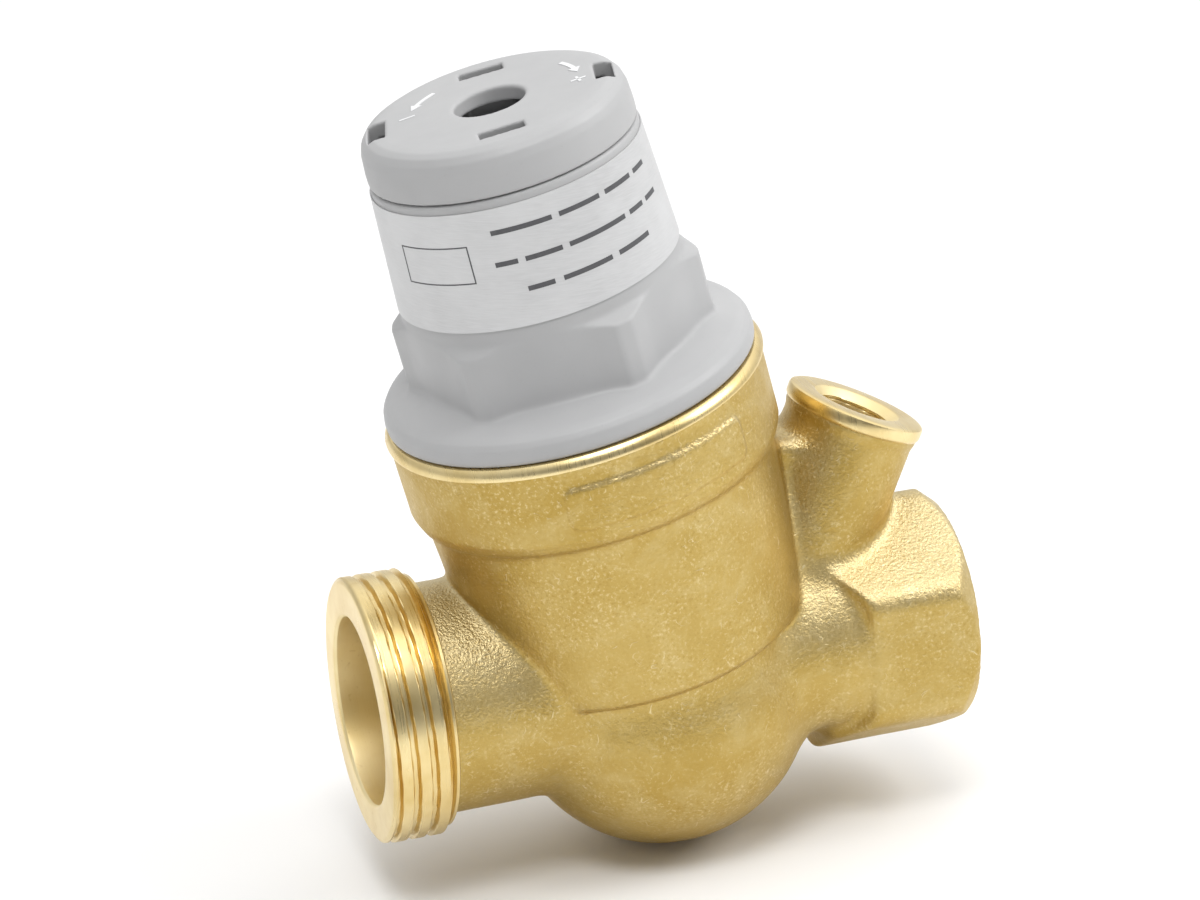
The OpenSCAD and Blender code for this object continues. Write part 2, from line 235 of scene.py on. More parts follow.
def lathe(points, count=160, wobble=None, closed=True):
    """Ring solid about z from a closed profile of (r, z); wobble(r, z, angle) may change r."""
    p = np.array(points, float)
    a = np.linspace(0, 2 * math.pi, count, endpoint=False)
    r = np.repeat(p[None, :, 0], count, 0)
    z = np.repeat(p[None, :, 1], count, 0)
    ang = np.repeat(a[:, None], len(p), 1)
    if wobble is not None:
        r, z = wobble(r, z, ang)
    co = np.stack([r * np.cos(ang), r * np.sin(ang), z], -1).reshape(-1, 3)
    k = len(p)
    faces = []
    for i in range(count):
        for j in range(k if closed else k - 1):
            i2, j2 = (i + 1) % count, (j + 1) % k
            faces.append((i * k + j, i2 * k + j, i2 * k + j2, i * k + j2))
    return co, faces


def add(name, co, faces, place, body, material, replaces=(), smooth=True, angle=None):
    obj = to_mesh(name, co, faces, place, smooth, angle)
    obj.data.materials.append(material)
    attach(obj, body)
    if replaces:
        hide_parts(*replaces)
    return obj


def lining(obj, co, faces, material, picked):
    """Second material on the faces whose centre picked(x, y, z) accepts."""
    mid = np.array([np.asarray(co)[list(f)].mean(0) for f in faces])
    obj.data.materials.append(material)
    obj.data.polygons.foreach_set("material_index", picked(*mid.T).astype(np.int32))


# ---------- materials ----------


class Nodes:
    """Short calls for building a node tree."""

    def __init__(self, name):
        self.mat = bpy.data.materials.new(name)
        self.mat.use_nodes = True
        self.t = self.mat.node_tree
        self.bsdf = self.t.nodes["Principled BSDF"]
        self.co = self.t.nodes.new("ShaderNodeTexCoord").outputs["Object"]

    def put(self, socket, value):
        if isinstance(value, bpy.types.NodeSocket):
            self.t.links.new(value, socket)
        else:
            socket.default_value = value

    def node(self, kind, **inputs):
        n = self.t.nodes.new(kind)
        for key, value in inputs.items():
            if key in n.inputs:
                self.put(n.inputs[key], value)
            else:
                setattr(n, key, value)
        return n

    def noise(self, scale, detail=3.0, rough=0.5, distortion=0.0, co=None):
        n = self.node("ShaderNodeTexNoise", Scale=scale, Detail=detail, Roughness=rough, Distortion=distortion)
        self.put(n.inputs["Vector"], co or self.co)
        return n.outputs["Fac"]

    def math(self, op, a, b=0.0, c=0.0):
        n = self.t.nodes.new("ShaderNodeMath")
        n.operation = op
        for s, value in zip(n.inputs, (a, b, c)):
            self.put(s, value)
        return n.outputs[0]

    def band(self, value, low, high, to_low=0.0, to_high=1.0):
        n = self.t.nodes.new("ShaderNodeMapRange")
        for key, x in zip(("Value", "From Min", "From Max", "To Min", "To Max"), (value, low, high, to_low, to_high)):
            self.put(n.inputs[key], x)
        return n.outputs[0]

    def mix(self, fac, a, b):
        n = self.t.nodes.new("ShaderNodeMix")
        n.data_type = "RGBA"
        self.put(n.inputs[0], fac)
        for s, value in ((n.inputs[6], a), (n.inputs[7], b)):
            self.put(s, (*value, 1) if isinstance(value, tuple) else value)
        return n.outputs[2]

    def bump(self, height, strength, distance, normal=None):
        n = self.node("ShaderNodeBump", Strength=strength, Distance=distance, Height=height)
        if normal is not None:
            self.put(n.inputs["Normal"], normal)
        return n.outputs[0]

    def scaled(self, x, y, z, turn=(0, 0, 0)):
        n = self.node("ShaderNodeMapping")
        n.inputs["Scale"].default_value = (x, y, z)
        n.inputs["Rotation"].default_value = turn
        self.put(n.inputs["Vector"], self.co)
        return n.outputs[0]

    def set(self, **values):
        names = {"color": "Base Color", "rough": "Roughness", "metal": "Metallic", "normal": "Normal",
                 "coat": "Coat Weight", "coat_rough": "Coat Roughness", "ior": "IOR", "aniso": "Anisotropic",
                 "specular": "Specular IOR Level"}
        for key, value in values.items():
            self.put(self.bsdf.inputs[names[key]], (*value, 1) if isinstance(value, tuple) else value)
        return self.mat


def forged_brass():
    n = Nodes("forged_brass")
    up = n.node("ShaderNodeSeparateXYZ", Vector=n.node("ShaderNodeNewGeometry").outputs["Normal"]).outputs["Z"]
    up = n.band(up, 0.12, 0.70)
    broad = n.noise(45, 3, 0.6)
    patch = n.noise(230, 4, 0.65, 0.6)
    color = n.mix(n.band(broad, 0.35, 0.65), (0.475, 0.328, 0.086), (0.545, 0.395, 0.128))
    color = n.mix(n.band(patch, 0.45, 0.75, 0, 0.5), color, (0.60, 0.48, 0.23))
    # painted highlight: faces that look up are painted paler, standing in for the light from above
    color = n.mix(n.math("MULTIPLY", up, 0.62), color, (0.66, 0.57, 0.36))
    grit = n.noise(2300, 3, 0.6)
    worn = n.band(n.noise(140, 3, 0.6), 0.38, 0.62, 0.12, 0.50)
    color = n.mix(n.math("MULTIPLY", n.band(grit, 0.55, 0.70), worn), color, (0.86, 0.74, 0.44))
    color = n.mix(n.math("MULTIPLY", n.band(grit, 0.44, 0.32), worn), color, (0.38, 0.25, 0.055))
    # short bright nicks: contour lines of one noise, kept where a second noise is high
    marks = None
    for scale, seed in ((300, 0.013), (420, 0.031), (560, 0.057)):
        place = n.node("ShaderNodeMapping")
        place.inputs["Location"].default_value = (seed, seed * 2, -seed)
        n.put(place.inputs["Vector"], n.co)
        line = n.math("ABSOLUTE", n.math("SUBTRACT", n.noise(scale, 1, 0.5, 0.4, place.outputs[0]), 0.5))
        line = n.band(line, 0.012, 0.002)
        m = n.math("MULTIPLY", line, n.band(n.noise(scale * 1.3, 1, 0.5, 0, place.outputs[0]), 0.65, 0.72))
        marks = m if marks is None else n.math("MAXIMUM", marks, m)
    # bright flecks: partly the brass's own grain, partly a painted glint, made denser on faces that look up as if lit
    # from above
    fleck = n.band(n.noise(1700, 2, 0.6), 0.66, 0.76)
    fleck = n.math("MULTIPLY", fleck, n.band(up, 0, 1, 0.25, 0.8))
    marks = n.math("MAXIMUM", marks, fleck)
    color = n.mix(n.math("MULTIPLY", marks, 0.42), color, (0.93, 0.84, 0.56))
    rough = n.band(patch, 0.3, 0.7, 0.50, 0.42)
    rough = n.math("SUBTRACT", rough, n.math("MULTIPLY", marks, 0.15))
    grain = n.math("ADD", n.noise(2700, 2, 0.55), n.math("MULTIPLY", grit, 0.5))
    grain = n.math("MULTIPLY", grain, n.band(up, 0, 1, 0.40, 1.0))
    normal = n.bump(n.noise(260, 3, 0.5), 0.30, 0.0004)
    normal = n.bump(grain, 0.8, 0.00020, normal)
    normal = n.bump(marks, 0.40, 0.00008, normal)
    return n.set(color=color, rough=rough, metal=1.0, normal=normal)


def machined_brass(name="machined_brass", color=((0.72, 0.55, 0.24), (0.84, 0.69, 0.37)), rough=0.30):
    """Turned brass: fine lines that run round whichever axis the surface has."""
    n = Nodes(name)
    tone = n.mix(n.band(n.noise(120, 3, 0.6), 0.35, 0.65), *color)
    scuff = n.band(n.noise(900, 3, 0.6, 0.4), 0.62, 0.78)
    tone = n.mix(n.math("MULTIPLY", scuff, 0.35), tone, (0.55, 0.39, 0.13))
    lines = n.noise(1.0, 2, 0.5, 0.0, n.scaled(5200, 50, 50))
    lines2 = n.noise(1.0, 2, 0.5, 0.0, n.scaled(50, 50, 5200, (0, -LEAN, 0)))
    r = n.math("ADD", n.band(lines, 0.3, 0.7, rough - 0.05, rough + 0.07), n.math("MULTIPLY", scuff, 0.12))
    normal = n.bump(n.math("ADD", lines, lines2), 0.08, 0.00004)
    normal = n.bump(scuff, 0.15, 0.00003, normal)
    return n.set(color=tone, rough=r, metal=1.0, normal=normal)


def moulded(name, light, dark, rough, grain=0.10):
    n = Nodes(name)
    tone = n.mix(n.band(n.noise(60, 3, 0.6), 0.3, 0.7), dark, light)
    speck = n.band(n.noise(2600, 2, 0.6), 0.66, 0.74)
    tone = n.mix(n.math("MULTIPLY", speck, 0.18), tone, tuple(c * 0.72 for c in dark))
    rub = n.band(n.noise(1.0, 3, 0.6, 0.2, n.scaled(240, 900, 900, (0.4, 0.3, 0.2))), 0.66, 0.80)
    r = n.math("SUBTRACT", n.band(n.noise(300, 3, 0.6), 0.3, 0.7, rough + 0.05, rough - 0.05), n.math("MULTIPLY", rub, 0.10))
    normal = n.bump(n.noise(3800, 3, 0.6), grain, 0.00005)
    normal = n.bump(n.noise(110, 2, 0.5), 0.10, 0.0003, normal)
    return n.set(color=tone, rough=r, metal=0.0, normal=normal, specular=0.42)


def steel(name="satin_steel"):
    n = Nodes(name)
    tone = n.mix(n.noise(150, 4, 0.6), (0.50, 0.50, 0.51), (0.68, 0.68, 0.69))
    lines = n.noise(1.0, 2, 0.5, 0.0, n.scaled(400, 400, 5000, (0, -LEAN, 0)))
    return n.set(color=tone, rough=n.band(lines, 0.3, 0.7, 0.26, 0.38), metal=1.0, normal=n.bump(lines, 0.12, 0.00005))


def rubber():
    n = Nodes("black_rubber")
    tone = n.mix(n.noise(500, 3, 0.6), (0.020, 0.020, 0.021), (0.042, 0.042, 0.044))
    return n.set(color=tone, rough=n.band(n.noise(700, 3, 0.6), 0.3, 0.7, 0.48, 0.66), metal=0.0,
                 normal=n.bump(n.noise(2400, 3, 0.6), 0.18, 0.00008))


def foil():
    n = Nodes("label_foil")
    brushed = n.noise(1.0, 3, 0.6, 0.0, n.scaled(500, 500, 7000, (0, -LEAN, 0)))
    tone = n.mix(n.band(brushed, 0.3, 0.7), (0.51, 0.512, 0.515), (0.58, 0.582, 0.585))
    tone = n.mix(n.band(n.noise(90, 3, 0.6), 0.4, 0.7, 0, 0.5), tone, (0.65, 0.652, 0.655))
    normal = n.bump(brushed, 0.05, 0.00004)
    normal = n.bump(n.noise(130, 2, 0.5, 0.4), 0.14, 0.0003, normal)
    return n.set(color=tone, rough=n.band(brushed, 0.3, 0.7, 0.38, 0.46), metal=0.35, normal=normal, specular=0.5)


def ink():
    n = Nodes("label_ink")
    tone = n.mix(n.noise(1500, 3, 0.7), (0.055, 0.055, 0.060), (0.095, 0.095, 0.10))
    return n.set(color=tone, rough=n.band(n.noise(900, 3, 0.6), 0.3, 0.7, 0.40, 0.55), metal=0.0)


M_FORGED = forged_brass()
M_TURNED = machined_brass()
M_BORE = machined_brass("turned_brass_bore", ((0.80, 0.65, 0.33), (0.90, 0.77, 0.46)), 0.46)
M_INNER = machined_brass("turned_brass_inner", ((0.60, 0.44, 0.16), (0.70, 0.54, 0.24)), 0.30)
M_GREY = moulded("grey_plastic", (0.420, 0.421, 0.423), (0.388, 0.389, 0.392), 0.45)
M_MARK = moulded("pale_mark", (0.74, 0.745, 0.75), (0.68, 0.685, 0.69), 0.42)
M_WHITE = moulded("white_plastic", (0.74, 0.72, 0.66), (0.66, 0.64, 0.58), 0.42)
M_STEEL = steel()
M_RUBBER = rubber()
M_FOIL = foil()
M_INK = ink()

SLOTS = {
    "forged_brass": M_FORGED, "turned_brass": M_INNER, "grey_plastic": M_GREY, "label_foil": M_FOIL,
    "steel": M_STEEL, "white_plastic": M_WHITE, "rubber": M_RUBBER,
}
for part in frame["record"]["subparts"]:
    node = frame["nodes"][part["node"]]
    node.data.materials.clear()
    node.data.materials.append(SLOTS[part["material_slot"]])


# ---------- forged body ----------

BARREL = [(0, -5), (18.2, -5), (18.6, 3.5), (19.7, 4.0), (20.35, 4.7), (20.65, 6.0), (21.95, 26.2), (22.2, 26.9), (22.9, 27.6),
          (23.4, 28.8), (23.45, 37.4), (23.7, 38.35), (0, 38.35)]
BOSS = [(0, -22), (8.9, -22), (8.55, -13), (8.4, -7.5), (8.35, -3.2), (8.6, -2.3), (8.6, -1.1), (0, -1.1)]
WEB = [(6, 26.6), (17.6, 27.4), (24.6, 24.2), (27.5, 14), (26, 5), (12, 5)]


def body_sdf(x, y, z):
    wx, wz = turn_y(x, z, -LEAN)
    r = np.hypot(wx, y)
    barrel = poly(r, wz, BARREL)
    dome = np.sqrt((x - 0.4) ** 2 + y ** 2 + (z + 4.4) ** 2) - 19.3
    rp = np.hypot(y, z)
    pipe = poly(rp, -x, [(0, 0), (13.3, 0), (13.85, 22), (13.95, INLET - 8.2), (0, INLET - 8.2)])
    neck = poly(rp, x, [(0, 0), (12.7, 0), (12.5, 22), (0, 22)])
    flare = smax(smax(rp - 13.6, x - 25, 0.8), (-9.0 - z + 0.5 * x - 10) * 0.9, 2.5)
    neck = smin(neck, flare, 1.2)
    collar = smax(rp - 13.7, np.maximum(20.1 - x, x - 26), 1.6)
    prism = smax(hexagon(z, y, 14.35), rp - 16.05, 0.4)
    prism = smax(prism, 20.1 - x, 1.4)
    # the sides of the hexagon start on a slanted end face
    prism = smax(prism, (24.6 - 0.75 * (14.4 - np.abs(y)) - x) / 1.25, 0.5)
    prism = smax(prism, poly(rp, x, [(0, 0), (18, 0), (18, OUTLET - 3.6), (16.1, OUTLET - 2.6), (13.9, OUTLET - 0.02), (0, OUTLET - 0.02)]), 0.3)
    port = smin(smin(collar, prism, 0.7), neck, 1.5)
    side = smin(dome, pipe, 2.0)
    lower = smin(side, port, 2.2)
    gx, gz = turn_y(x - GAUGE[0], z - GAUGE[1], GAUGE_LEAN)
    boss = poly(np.hypot(gx, y), gz, BOSS)
    web = smax(poly(x, z, WEB), np.abs(y) - 4.6, 1.6)
    upper = smin(smin(barrel, pipe, 2.0), port, 1.6)
    # blank raised panel on the upper band
    turn = np.degrees(np.arctan2(y, wx)) + 82.5
    px, pz = turn * (23.5 * math.pi / 180), wz - 32.8
    q = np.hypot(np.maximum(np.abs(px) - 11.2, 0), np.maximum(np.abs(pz) - 1.5, 0)) - 1.2
    raised = 0.34 * np.clip((0.2 - q) / 0.4, 0, 1)
    upper = upper - np.where(r > 22, raised, 0)
    d = smin(lower, upper, 0.6)
    d = smin(d, smin(boss, web, 2.0), 1.7)
    # forging skin: slight unevenness, always inwards
    d = d + 0.05 + 0.04 * value_noise(x, y, z, 5.5, 3) + 0.012 * value_noise(x, y, z, 1.7, 5)
    # bores
    d = cut(d, rod(wx, y, wz, 18.7, 20.5, 60), 0.25)
    d = cut(d, rod(wx, y, wz, 15, 6.5, 60), 0.25)
    d = cut(d, rod(wx, y, wz, 11.6, -15, 60), 0.4)
    d = cut(d, rod(z, y, -x, 11.9, 28.2, 60), 0.2)
    d = cut(d, rod(z, y, -x, 9.5, 26.5, 60), 0.3)
    for (x0, z0), (x1, z1), rad in (((-30, 0), (-7, -10.2), 6.5), ((25, 1.4), (11, 17.5), 5.0)):
        a = math.atan2(x1 - x0, z1 - z0)
        dx, dz = turn_y(x - x0, z - z0, a)
        d = cut(d, rod(dx, y, dz, rad, 0, math.hypot(x1 - x0, z1 - z0)), 0.5)
    d = cut(d, rod(z, y, x, 10.9, 23.4, 60), 0.2)
    d = cut(d, rod(gx, y, gz, 5.6, -10, 10), 0.2)
    d = cut(d, rod(gx, y, gz, 1.6, -22, 0), 0.2)
    return d


CELL = 0.4
co, faces = surface_net(body_sdf, (-31, -25, -25), (40, 25, 46), CELL)
co[:, 0] = np.minimum(co[:, 0], OUTLET - 0.02)
forging = add("body_forging", co, faces, PIPE, "housing", M_FORGED, ["valve_body"])
lining(forging, co, faces, M_BORE, lambda x, y, z: (np.hypot(y, z) < 12.05) & (np.abs(x) > 22))


def helix_ring(wall, face, outside, pitch, depth, start, end, fade, hand=1):
    """Function that turns the thread wall of a lathe profile into a helical thread.

    outside is True for a male thread. Points whose radius equals wall between start and end are moved."""

    def wobble(r, z, a):
        on = (np.abs(r - wall) < 1e-6) & (z >= start) & (z <= end)
        phase = np.mod(z / pitch - hand * a / (2 * math.pi), 1.0)
        v = np.abs(phase - 0.5) * 2
        groove = np.clip((0.46 - v) / 0.26, 0, 1)
        groove = groove * groove * (3 - 2 * groove)
        edge = np.clip((z - start) / fade[0], 0, 1) if fade[0] else 1.0
        edge = edge * (np.clip((end - z) / fade[1], 0, 1) if fade[1] else 1.0)
        moved = r + (-1 if outside else 1) * depth * groove * edge
        return np.where(on, moved, r), z

    return wobble


# union thread: a turned ring pressed over the forging's end; z runs towards the inlet
ALONG_INLET = PIPE @ Matrix.Rotation(-math.pi / 2, 4, "Y")
ALONG_OUTLET = PIPE @ Matrix.Rotation(math.pi / 2, 4, "Y")
F = INLET
profile = [(11.75, F - 9.6), (13.2, F - 10.9), (13.85, F - 10.6), (13.6, F - 9.9), (13.75, F - 9.2), (14.3, F - 8.75), (15.2, F - 8.6),
           (15.75, F - 8.35), (15.75, F - 8.0), (15.3, F - 7.72), (15.75, F - 7.45)]
thread = [(16.6, z) for z in np.arange(F - 7.2, F - 0.52, 0.09)]
face = [(16.45, F - 0.32), (16.0, F - 0.04), (15.8, F), (14.6, F), (13.3, F), (12.25, F), (12.0, F - 0.08), (11.75, F - 0.35), (11.7, F - 1.0)]
co, faces = lathe(profile + thread + face, 224, helix_ring(16.6, F, True, 2.309, 0.74, F - 7.21, F - 0.5, (0.25, 0.15)))
union = add("union_thread", co, faces, ALONG_INLET, "housing", M_TURNED, angle=38)
lining(union, co, faces, M_BORE, lambda x, y, z: np.hypot(x, y) < 11.9)

# outlet thread: turned liner of the hexagon
F = OUTLET
inner = [(9.2, z) for z in np.arange(F - 1.5, 23.5, -0.1)]
co, faces = lathe([(10.95, 23.45), (13.6, 30.0), (13.7, F - 0.35), (13.3, F), (11.1, F), (10.75, F - 0.05), (9.4, F - 1.3)] + inner, 160,
                  helix_ring(9.2, F, False, 1.814, 0.95, 23.4, F - 1.2, (0.8, 0.1)))
add("outlet_thread", co, faces, ALONG_OUTLET, "housing", M_TURNED, angle=38)

# gauge port: turned lip with its thread
inner = [(4.35, z) for z in np.arange(-1.0, -9.9, -0.08)]
lip = [(5.5, -9.95), (6.4, -8.5), (7.6, -3.0), (8.3, -2.05), (8.65, -1.8), (8.82, -1.55), (8.85, -1.3), (8.85, -0.5), (8.75, -0.2), (8.5, -0.05),
       (8.2, 0.0), (6.8, 0.0), (5.75, 0.0), (5.55, -0.05), (4.7, -0.82), (4.5, -0.92)]
co, faces = lathe(lip + inner, 144, helix_ring(4.35, 0, False, 0.941, 0.5, -9.0, -0.9, (0.5, 0.05)))
port = add("gauge_port_lip", co, faces, PORT, "housing", M_TURNED, angle=38)
lining(port, co, faces, M_BORE, lambda x, y, z: (np.hypot(x, y) < 5.6) & (z > -9.9))

# machined rim under the bonnet, with the female thread that holds it
inner = [(18.6, z) for z in np.arange(RIM - 0.8, RIM - 12.5, -0.12)]
co, faces = lathe([(18.9, RIM - 13), (21.4, RIM - 3.0), (23.2, RIM - 1.5), (23.74, RIM - 1.35), (23.76, RIM - 1.0), (23.2, RIM - 0.08), (23.0, RIM),
                   (21.0, RIM), (19.5, RIM), (19.2, RIM - 0.1)] + inner, 256,
                  helix_ring(18.6, 0, False, 1.5, 0.5, RIM - 12.0, RIM - 0.9, (0.6, 0.2)))
add("machined_rim", co, faces, CART, "housing", M_TURNED, angle=38)


# ---------- bonnet ----------

FLANGE = [(0, RIM + 0.05), (22.6, RIM + 0.05), (23.08, RIM + 0.5), (23.15, RIM + 1.3), (23.0, RIM + 2.2), (22.5, RIM + 2.9), (21.6, RIM + 3.4),
          (19.0, RIM + 4.3), (16.0, RIM + 5.2), (0, RIM + 5.2)]


def windows(x, y, z, depth):
    """The cap's four snap windows, cut down from its top."""
    d = np.full_like(x, 1e9)
    for a, r0 in ((-99, 10.0), (-13, 12.8), (79, 10.0), (165, 12.8)):
        a = math.radians(a)
        px, py = math.cos(a) * x + math.sin(a) * y, -math.sin(a) * x + math.cos(a) * y
        d = np.minimum(d, box(px, py, z, (r0 + 1.1, 0, CAP_TOP), (1.1, 2.75, depth)))
    return d


def bonnet_sdf(x, y, z):
    r = np.hypot(x, y)
    flange = poly(r, z, FLANGE)
    c, s = math.cos(math.radians(-17)), math.sin(math.radians(-17))
    hx, hy = c * x + s * y, -s * x + c * y
    prism = hexagon(hx, hy, 17.05)
    prism = smax(prism, r - 19.1, 0.2)
    limit = np.maximum(RIM + 2 - z, z - (RIM + 13.3))
    prism = smax(prism, limit, 0.3)
    prism = smax(prism, (r - 17.7) * 0.5 + (z - (RIM + 13.1)) * 0.866, 0.25)
    d = smin(flange, prism, 0.6)
    tube = poly(r, z, [(0, RIM), (17.38, RIM), (17.38, RIM + 14.6), (16.5, SEAM - 0.45), (16.25, SEAM - 0.12), (0, SEAM - 0.12)])
    d = smin(d, tube, 0.7)
    skirt = poly(r, z, [(0, 23), (18.0, 23), (18.45, 23.7), (18.45, RIM + 1), (0, RIM + 1)])
    d = np.minimum(d, skirt)
    neck = poly(r, z, [(0, SEAM - 2), (13.4, SEAM - 2), (13.4, SEAM + 1.2), (13.9, SEAM + 2.0), (13.4, SEAM + 2.8), (0, SEAM + 2.8)])
    d = np.minimum(d, neck)
    d = cut(d, rod(x, y, z, 13.4, 10, 67.1), 0.4)
    d = cut(d, rod(x, y, z, 15.2, 10, 32.5), 0.4)
    for px, py in ((x, y), (y, x)):
        d = cut(d, box(px, py, z, (0, 0, 42), (14.9, 2.3, 22)), 0.3)
    d = cut(d, rod(x, y, z, 5.0, 60, 90), 0.3)
    d = cut(d, rod(x, y, z, 11.2, 70.4, 90), 0.3)
    return np.maximum(d, -windows(x, y, z, 9))


CELL = 0.3
co, faces = surface_net(bonnet_sdf, (-25, -25, 21), (25, 25, 75), CELL)
add("bonnet_shell", co, faces, CART, "housing", M_GREY, ["bonnet"])


CAP = [(0, SEAM + 0.06), (16.38, SEAM + 0.06), (16.5, SEAM + 0.3), (16.5, SEAM + 1.5), (16.35, SEAM + 3.6), (16.05, SEAM + 4.6), (15.4, SEAM + 5.4),
       (14.5, SEAM + 5.8), (13.4, CAP_TOP - 0.02), (0, CAP_TOP - 0.02)]


def cap_sdf(x, y, z):
    r = np.hypot(x, y)
    d = poly(r, z, CAP)
    d = cut(d, rod(x, y, z, 14.2, 60, SEAM + 3.9), 0.3)
    d = cut(d, rod(x, y, z, 4.35, 60, 90), 0.45)
    d = cut(d, windows(x, y, z, CAP_TOP - SEAM - 1.2), 0.15)
    return d


CELL = 0.25
co, faces = surface_net(cap_sdf, (-17.5, -17.5, 69.5), (17.5, 17.5, 77.5), CELL)
add("top_cap_shell", co, faces, CART, "housing", M_GREY, ["top_cap"])


# ---------- cap marks: turn arrows, minus and plus ----------


def solid_outline(points, z0, z1):
    """Prism over a closed outline, as vertices and faces."""
    n = len(points)
    co = [(x, y, z0) for x, y in points] + [(x, y, z1) for x, y in points]
    faces = [tuple(range(n, 2 * n)), tuple(reversed(range(n)))]
    faces += [(i, (i + 1) % n, n + (i + 1) % n, n + i) for i in range(n)]
    return co, faces


def merge(parts):
    co, faces = [], []
    for c, f in parts:
        base = len(co)
        co += list(c)
        faces += [tuple(i + base for i in q) for q in f]
    return co, faces


def arc_arrow(r, w, a0, a1, head, z0, z1):
    """Curved arrow from angle a0 to a1 in degrees, with its head at a1."""
    sgn = 1 if a1 > a0 else -1
    body = np.radians(np.linspace(a0, a1 - sgn * head, 14))
    outer = [((r + w / 2) * math.cos(a), (r + w / 2) * math.sin(a)) for a in body]
    inner = [((r - w / 2) * math.cos(a), (r - w / 2) * math.sin(a)) for a in body[::-1]]
    b, t = body[-1], math.radians(a1)
    tip = [((r + w * 1.25) * math.cos(b), (r + w * 1.25) * math.sin(b)), (r * math.cos(t), r * math.sin(t)),
           ((r - w * 1.25) * math.cos(b), (r - w * 1.25) * math.sin(b))]
    pts = outer + tip + inner
    return solid_outline(pts if sgn > 0 else pts[::-1], z0, z1)


def bar(cx, cy, lx, ly, a, z0, z1):
    c, s = math.cos(math.radians(a)), math.sin(math.radians(a))
    pts = [(cx + c * u - s * v, cy + s * u + c * v) for u, v in ((-lx, -ly), (lx, -ly), (lx, ly), (-lx, ly))]
    return solid_outline(pts, z0, z1)


z0, z1 = CAP_TOP - 0.3, CAP_TOP + 0.05
marks = [arc_arrow(10.1, 0.6, 116, 145, 9, z0, z1), arc_arrow(11.0, 0.6, 20, -6, 8, z0, z1)]
for deg, r, sizes in ((157, 10.1, ((1.0, 0.17),)), (-20, 10.9, ((0.95, 0.17), (0.17, 0.95)))):
    t = math.radians(deg)
    marks += [bar(r * math.cos(t), r * math.sin(t), lx, ly, 0, z0, z1) for lx, ly in sizes]
co, faces = merge(marks)
add("cap_marks", co, faces, CART, "housing", M_MARK, smooth=False)


# ---------- label ----------

LABEL_LOW, LABEL_HIGH = RIM + 15.2, SEAM - 1.2
SLOPE = (17.4 - 16.5) / (SEAM - 0.15 - RIM - 14.6)


def skin_r(z):
    return 17.4 - (z - RIM - 14.6) * SLOPE


def on_skin(a, z, lift):
    """Point on the bonnet's tapered cylinder; a is the angle from the front, in degrees."""
    t = math.radians(a - 90)
    r = skin_r(z) + lift
    return (r * math.cos(t), r * math.sin(t), z)


def patch(a0, a1, z0, z1, low, high, na, nz, round_by=0.0):
    """Curved slab on the skin between two angles and two levels."""
    us = np.linspace(0, 1, na)
    vs = np.linspace(0, 1, nz)
    co, faces = [], []
    for lift in (high, low):
        for u in us:
            for v in vs:
                z = z0 + (z1 - z0) * v
                corner = 0.0
                if round_by:
                    dz = min(z - z0, z1 - z)
                    k = max(0.0, 1 - dz / round_by)
                    corner = math.degrees(round_by * (1 - math.sqrt(max(0.0, 1 - k * k))) / 17)
                co.append(on_skin(a0 + corner + (a1 - a0 - 2 * corner) * u, z, lift))
    m = na * nz
    for i in range(na - 1):
        for j in range(nz - 1):
            q = (i * nz + j, (i + 1) * nz + j, (i + 1) * nz + j + 1, i * nz + j + 1)
            faces.append(q)
            faces.append(tuple(m + k for k in reversed(q)))
    rim = [i * nz for i in range(na)] + [(na - 1) * nz + j for j in range(1, nz)]
    rim += [i * nz + nz - 1 for i in range(na - 2, -1, -1)] + [j for j in range(nz - 2, 0, -1)]
    for a, b in zip(rim, rim[1:] + rim[:1]):
        faces.append((b, a, m + a, m + b))
    return co, faces


co, faces = patch(-160, 160, LABEL_LOW, LABEL_HIGH, 0.02, 0.15, 180, 12, 1.2)
add("label_film", co, faces, CART, "housing", M_FOIL, ["rating_label"], angle=40)

INK = (0.13, 0.175)
dashes = []
f0, f1, g0, g1 = -70.5, -36.5, 60.7, 65.4
for a0, a1, b0, b1 in ((f0, f1, g0, g0 + 0.16), (f0, f1, g1 - 0.16, g1), (f0, f0 + 0.55, g0, g1), (f1 - 0.55, f1, g0, g1)):
    dashes.append(patch(a0, a1, b0, b1, *INK, 12, 2))
rows = ((66.2, -25.5, 3.14, (8, 6, 5, 3)), (62.3, -27, 3.04, (3, 5, 9, 3, 3)), (58.7, -17, 3.6, (3, 6, 5)))
for level, a, unit, words in rows:
    for w in words:
        dashes.append(patch(a, a + w * unit, level, level + 0.6, *INK, 12, 2))
        a += (w + 1) * unit
co, faces = merge(dashes)
add("label_print", co, faces, CART, "housing", M_INK, smooth=False)


# ---------- range spring and diaphragm ---------------------------------------------


def coil(radius, wire, s0, s1, turns, part, steps=48, sides=16):
    """Half of a round wire spring with one closed turn at each end, ground flat at its two faces."""
    whole = turns + 2
    t = np.linspace(whole * part / 2, whole * (part + 1) / 2, int(whole * steps / 2) + 1)
    dead = 2 * wire * 1.04
    ground = 0.35
    climb = (s1 - s0 - 2 * (wire - ground) - 2 * dead) / turns
    middle = np.where(t < 1 + turns, dead + (t - 1) * climb, (t - turns) * dead + turns * climb)
    level = s0 + wire - ground + np.where(t < 1, t * dead, middle)
    b = np.linspace(0, 2 * math.pi, sides, endpoint=False)
    r = radius + wire * np.cos(b)[None, :]
    a = 2 * math.pi * t[:, None]
    z = np.clip(level[:, None] + wire * np.sin(b)[None, :], s0, s1)
    co = np.stack([r * np.cos(a), r * np.sin(a), z], -1).reshape(-1, 3)
    n = len(t)
    faces = [(i * sides + k, (i + 1) * sides + k, (i + 1) * sides + (k + 1) % sides, i * sides + (k + 1) % sides)
             for i in range(n - 1) for k in range(sides)]
    faces += [tuple(range(sides)), tuple((n - 1) * sides + k for k in reversed(range(sides)))]
    return co, faces


